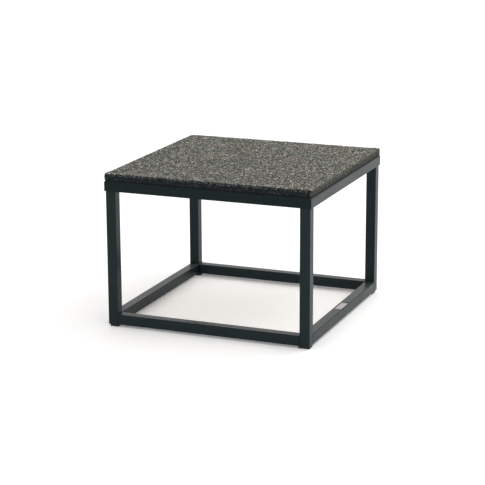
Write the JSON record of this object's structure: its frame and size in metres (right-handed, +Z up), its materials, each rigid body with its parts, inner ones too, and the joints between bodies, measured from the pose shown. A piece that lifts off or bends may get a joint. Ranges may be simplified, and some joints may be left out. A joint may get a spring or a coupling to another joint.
{
  "type": "stage riser platform",
  "caption": "Square stage riser: welded square-tube steel frame with low rails and feet, and a lift-off steel-rimmed deck tray covered in speckled carpet.",
  "frame": {"origin": "on the floor, under the middle of the deck", "axes": "+Z up, +X to the right along the front, +Y from the front to the back; the front is the side with the label's rail on its right"},
  "size_m": [0.72, 0.72, 0.52],
  "materials": {
    "frame_paint": "satin black powder coat on 35 mm and 30 mm square steel tube",
    "rim_paint": "satin black powder coat on folded steel sheet",
    "foot_plastic": "matt black moulded foot",
    "label_plate": "satin blank label, no text",
    "plywood": "unfinished birch plywood",
    "carpet": "low loop pile, charcoal with pale, green and pink flecks",
    "zinc_steel": "zinc plated screws and staples"
  },
  "bodies": {
    "frame": {"leg_front_left": "frame_paint", "leg_front_right": "frame_paint", "leg_back_left": "frame_paint", "leg_back_right": "frame_paint", "lower_rail_front": "frame_paint", "lower_rail_back": "frame_paint", "lower_rail_left": "frame_paint", "lower_rail_right": "frame_paint", "upper_rail_front": "frame_paint", "upper_rail_back": "frame_paint", "upper_rail_left": "frame_paint", "upper_rail_right": "frame_paint", "foot_front_left": "foot_plastic", "foot_front_right": "foot_plastic", "foot_back_left": "foot_plastic", "foot_back_right": "foot_plastic", "blank_label": "label_plate"},
    "deck": {"deck_rim_front": "rim_paint", "deck_rim_back": "rim_paint", "deck_rim_left": "rim_paint", "deck_rim_right": "rim_paint", "deck_panel": "plywood", "carpet_cover": "carpet", "deck_screws": "zinc_steel", "carpet_staples": "zinc_steel"}
  },
  "joints": [
    {"name": "deck_lift", "type": "slide", "parent": "frame", "child": "deck", "axis": [0, 0, 1], "range_m": [0, 0.06]}
  ]
}
